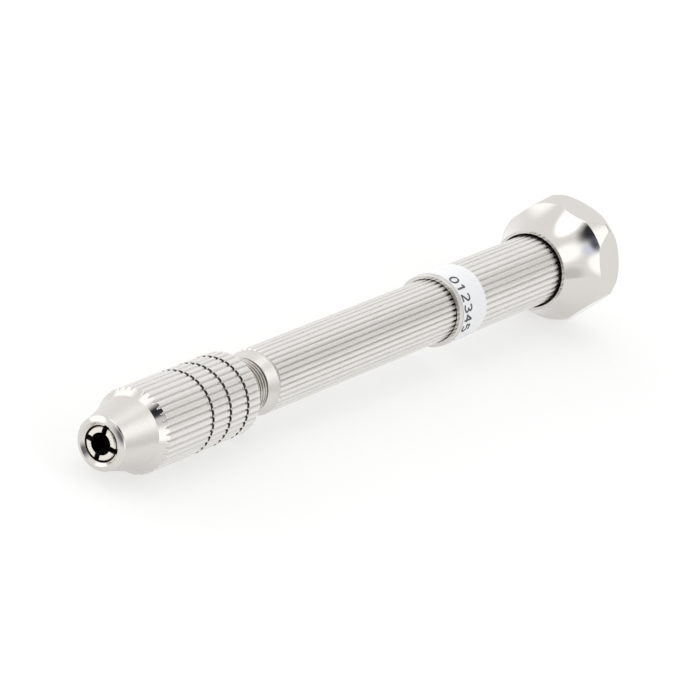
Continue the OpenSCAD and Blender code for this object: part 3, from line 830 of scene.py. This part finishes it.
# ---------------------------------------------------------------- surroundings
# Soft boxes and dark gaps of the studio, each seen from the tool: azimuth and elevation of its middle,
# half its width and height, all in degrees, the softness of its edge, and its brightness.
SURROUNDINGS = [
    ("overhead_box", 56, 75, 19, 17, 0.2, (1.6, 1.6, 1.6)),
    ("right_box", 106, 18, 40, 28, 0.2, (1.5, 1.5, 1.5)),
    ("key_box", -50, 46, 17, 16, 0.4, (1.5, 1.5, 1.5)),
    ("left_box", -94, 21, 12, 19, 0.3, (1.5, 1.5, 1.5)),
    ("far_grey", -17, 24, 18, 14, 0.5, (0.72, 0.72, 0.71)),
    ("side_grey", -62, 8, 12, 12, 0.5, (0.74, 0.73, 0.72)),
    ("blue_edge", -86, 46, 7, 11, 0.6, (0.85, 0.9, 1.05)),
    ("dark_gap", -110, 69, 15, 14, 0.45, (0.03, 0.03, 0.035)),
    ("gap_foot", -96, 51, 5, 12, 0.6, (0.1, 0.11, 0.14)),
    ("lens_gap", -147, 33, 27, 22, 0.6, (0.2, 0.19, 0.21)),
]
BEHIND = 100  # any size that takes the directions behind a patch past its softest edge
FLOOR_PLAIN = 0.5  # how far the floor turns from its lit colour to plain white as the background
FLOOR_WHITE = 1.17  # that plain white, just over 1 so that the floor far away stays white
FLOOR_REACH = 3000.0  # millimetres from the middle to each edge
FLOOR_GAP = 0.02  # millimetres under the tool


def background_rays(tree):
    """1 for the rays that show the background: the camera's, and those that metal and glass send on."""
    paths = add(tree, "ShaderNodeLightPath").outputs
    direct = add(tree, "ShaderNodeMath", {
        0: paths["Is Camera Ray"], 1: paths["Is Glossy Ray"]}, operation="MAXIMUM").outputs[0]
    return add(tree, "ShaderNodeMath", {
        0: direct, 1: paths["Is Transmission Ray"]}, operation="MAXIMUM").outputs[0]


def studio():
    """The world: white all round, with those patches painted in by direction. The camera doesn't see
    the patches: to it, the world is white, as it is to metal and glass between them."""
    world = bpy.data.worlds.new("studio")
    world.use_nodes = True
    bpy.context.scene.world = world
    tree = world.node_tree
    tree.nodes.clear()
    direction = add(tree, "ShaderNodeTexCoord").outputs["Generated"]
    seen = add(tree, "ShaderNodeRGB").outputs[0]
    seen.default_value = (1, 1, 1, 1)
    for name, azimuth, elevation, half_width, half_height, soft, brightness in SURROUNDINGS:
        turn = (Matrix.Rotation(math.radians(azimuth), 3, "Z")
                @ Matrix.Rotation(math.radians(-elevation), 3, "Y")).transposed()
        local = add(tree, "ShaderNodeMapping", {
            "Vector": direction, "Rotation": turn.to_euler("XYZ")}).outputs[0]
        # Straight ahead is +X here. What lies behind keeps its negative x, which BEHIND sends far away.
        behind = add(tree, "ShaderNodeVectorMath", {
            0: local, 1: (0, 1, 1)}, operation="MINIMUM").outputs[0]
        scaled = add(tree, "ShaderNodeVectorMath", {0: behind, 1: (
            BEHIND, 1 / math.sin(math.radians(half_width)), 1 / math.sin(math.radians(half_height)))},
            operation="MULTIPLY").outputs[0]
        away = add(tree, "ShaderNodeVectorMath", {0: scaled}, operation="LENGTH").outputs["Value"]
        share = add(tree, "ShaderNodeMapRange", {
            "Value": away, "From Min": 1 + soft, "From Max": 1 - soft},
            interpolation_type="SMOOTHSTEP").outputs[0]
        seen = add(tree, "ShaderNodeMix", {
            0: share, 6: seen, 7: (*brightness, 1)}, data_type="RGBA", label=name).outputs[2]
    paths = add(tree, "ShaderNodeLightPath").outputs
    lit = add(tree, "ShaderNodeBackground", {"Color": seen, "Strength": 1.0}).outputs[0]
    white = add(tree, "ShaderNodeBackground", {"Color": (1, 1, 1, 1), "Strength": 1.0}).outputs[0]
    shown = add(tree, "ShaderNodeMixShader", {0: paths["Is Camera Ray"], 1: lit, 2: white}).outputs[0]
    add(tree, "ShaderNodeOutputWorld", {"Surface": shown})


def floor():
    """The floor under the tool: the plane on which the cap's last knurl and the front of the head's
    flat both rest. As the background, half of its lit colour gives way to plain white, so that it is
    white there and keeps the tool's shadow."""
    front, rear = (CAP_END - 0.5, -CAP_R), (HEAD_CREST_X - 1.5, -HEAD_FLATS / 2)
    slope = (rear[1] - front[1]) / (rear[0] - front[0])
    ends = (-FLOOR_REACH, FLOOR_REACH)
    corners = np.array([(x, y) for x in ends for y in ends])
    heights = front[1] - FLOOR_GAP + slope * (corners[:, 0] - front[0])
    points = np.column_stack([corners, heights])
    mesh = bpy.data.meshes.new("floor")
    mesh.from_pydata(points * MM, [], [(0, 2, 3, 1)])
    obj = bpy.data.objects.new("floor", mesh)
    bpy.context.scene.collection.objects.link(obj)
    made = bpy.data.materials.new("floor_white")
    made.use_nodes = True
    tree = made.node_tree
    tree.nodes.clear()
    share = add(tree, "ShaderNodeMath", {
        0: background_rays(tree), 1: FLOOR_PLAIN}, operation="MULTIPLY").outputs[0]
    matt = add(tree, "ShaderNodeBsdfDiffuse", {"Color": colour("F2F2F1")}).outputs[0]
    plain = add(tree, "ShaderNodeEmission", {"Color": (1, 1, 1, 1), "Strength": FLOOR_WHITE}).outputs[0]
    both = add(tree, "ShaderNodeMixShader", {0: share, 1: matt, 2: plain}).outputs[0]
    add(tree, "ShaderNodeOutputMaterial", {"Surface": both})
    mesh.materials.append(made)


# ---------------------------------------------------------------- where the image points show on the model
def showing(pieces):
    """For each piece, its finished vertices and whether each one shows to the camera, which it does when
    a ray to the camera, begun just over its surface, meets no piece."""
    graph = bpy.context.evaluated_depsgraph_get()
    points, faces, start = [], [], 0
    for obj in pieces:
        mesh = obj.evaluated_get(graph).to_mesh()
        own = np.empty(len(mesh.vertices) * 3)
        mesh.vertices.foreach_get("co", own)
        points.append(own.reshape(-1, 3))
        faces += [[start + v for v in face.vertices] for face in mesh.polygons]
        start += len(mesh.vertices)
    tree = BVHTree.FromPolygons(np.vstack(points).tolist(), faces)
    eye = CAMERA.matrix_world.translation
    clear = 0.03 * MM
    shown = {}
    for obj, own in zip(pieces, points):
        seen = np.zeros(len(own), bool)
        for i, point in enumerate(own):
            ray = (eye - Vector(point)).normalized()
            seen[i] = tree.ray_cast(Vector(point) + ray * clear, ray)[0] is None
        shown[obj.name] = (own, seen)
    return shown


def check_points(shown):
    def at(name, x0, x1, low_r=0.0, high_r=99.0):
        """Where a piece's showing vertices between two x and two radii are seen."""
        own, seen = shown[name]
        r = np.hypot(own[:, 1], own[:, 2]) / MM
        x = own[:, 0] / MM
        return seen_at(own[seen & (x >= x0) & (x <= x1) & (r >= low_r) & (r <= high_r)])

    def nearest(name, x, r, turn):
        """Where a piece's showing vertex nearest to a place on it is seen."""
        own, seen = shown[name]
        wanted = np.array([x, -r * math.sin(turn), r * math.cos(turn)]) * MM
        return seen_at(own[seen][[np.linalg.norm(own[seen] - wanted, axis=1).argmin()]])[0]

    def right_end(places):
        """The place farthest to the right."""
        return places[places[:, 0].argmax()]

    def middle(places):
        """The middle of the box round the places."""
        return (places.min(0) + places.max(0)) / 2

    own, seen = shown["label_print"]
    ink = own[seen]
    ink_turns = np.arctan2(-ink[:, 1], ink[:, 2])
    print_x = (ink[:, 0].min() + ink[:, 0].max()) / 2 / MM
    print_turn = (ink_turns.min() + ink_turns.max()) / 2
    rim = CAP_X + LIP_LEN + CONE_LEN
    everything = np.vstack([seen_at(points[seen]) for points, seen in shown.values()])
    found = {
        "object_left": (everything[:, 0].min(), None),
        "object_right": (everything[:, 0].max(), None),
        "object_top": (None, everything[:, 1].min()),
        "object_bottom": (None, everything[:, 1].max()),
        "mouth": middle(at("cap_shell", CAP_X - 0.1, CAP_X + MOUTH_CHAMFER + 0.05, 0, MOUTH_R + 0.06)),
        "rim_edge": right_end(at("cap_shell", rim - 0.1, rim + 0.1)),
        "cap_rear_edge": right_end(at("cap_shell", CAP_END - 0.5, CAP_END, CAP_R - 0.45)),
        "collar_edge": right_end(at("barrel_front", KNURL_X - 0.25, KNURL_X)),
        "sleeve_mouth_edge": right_end(at("sleeve_shell", SLEEVE_X - 0.1, SLEEVE_X + 0.05)),
        "label_rear_edge": right_end(at("label_band", LABEL_END - 0.05, LABEL_END + 0.01)),
        "sleeve_end_edge": right_end(at("sleeve_shell", HEAD_X - 0.6, HEAD_X + 0.6)),
        "head_corner": nearest("head_shell", HEAD_CREST_X, HEAD_CREST_R, math.pi / 6),
        "print": nearest("label_band", print_x, LABEL_R, print_turn),
    }


# ---------------------------------------------------------------- the tool put together
# The bores' finish is painted dark: painted shade inside the cap, barrel, sleeve and head.
turned_finish, shaded_bore_finish, bright_finish = turned_nickel(), shaded_bore_steel(), polished_nickel()

PARTS = [
    # piece, body, CAD node, record's slot, materials in the order of the piece's slots
    (nose_cap(), "nose_cap", "nose_cap", "satin_nickel",
     [turned_finish, knurled_nickel("knurled_nickel_cap", CAP_R, BARREL_END), shaded_bore_finish, bright_finish,
      shaded_ring_nickel()]),
    (barrel_front(), "barrel", "barrel", "satin_nickel",
     [turned_finish, threaded_nickel("threaded_nickel_front", FRONT_THREAD_R), shaded_bore_finish]),
    (barrel_knurl(), "barrel", "barrel", "satin_nickel",
     [turned_finish, knurled_nickel("knurled_nickel_barrel", BARREL_R, SLEEVE_X), shaded_bore_finish]),
    (barrel_rear(), "barrel", "barrel", "satin_nickel",
     [turned_finish, threaded_nickel("threaded_nickel_rear", REAR_THREAD_R), shaded_bore_finish]),
    (sleeve(), "sleeve", "sleeve", "satin_nickel",
     [turned_finish, knurled_nickel("knurled_nickel_sleeve", SLEEVE_R, HEAD_X), shaded_bore_finish,
      bright_finish]),
    (head(), "head", "head", "polished_nickel", [bright_finish, shaded_bore_finish]),
    (label(), "sleeve", "label", "label_paper", [label_paper()]),
]
PARTS.append((label_print(PARTS[-1][0]), "sleeve", None, "label_paper", [printed_ink()]))

for obj, body, node, slot, finishes in PARTS:
    for finish in finishes:
        obj.data.materials.append(finish)
    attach(obj, body)
    if node:
        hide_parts(node)

collet_steel = ground_steel("hardened_steel", COLLET_BORE_R)
CARRIED_OVER = {
    "front_collet": collet_steel, "spare_collet": collet_steel,
    "pivot_screw": ground_steel("ground_steel", 0), "thrust_washer": washer_brass(),
}
for node, finish in CARRIED_OVER.items():
    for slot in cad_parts[node].material_slots:
        slot.material = finish

studio()
floor()
bpy.context.scene.view_settings.view_transform = "Standard"
check_points(showing([part[0] for part in PARTS] + [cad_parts["front_collet"]]))
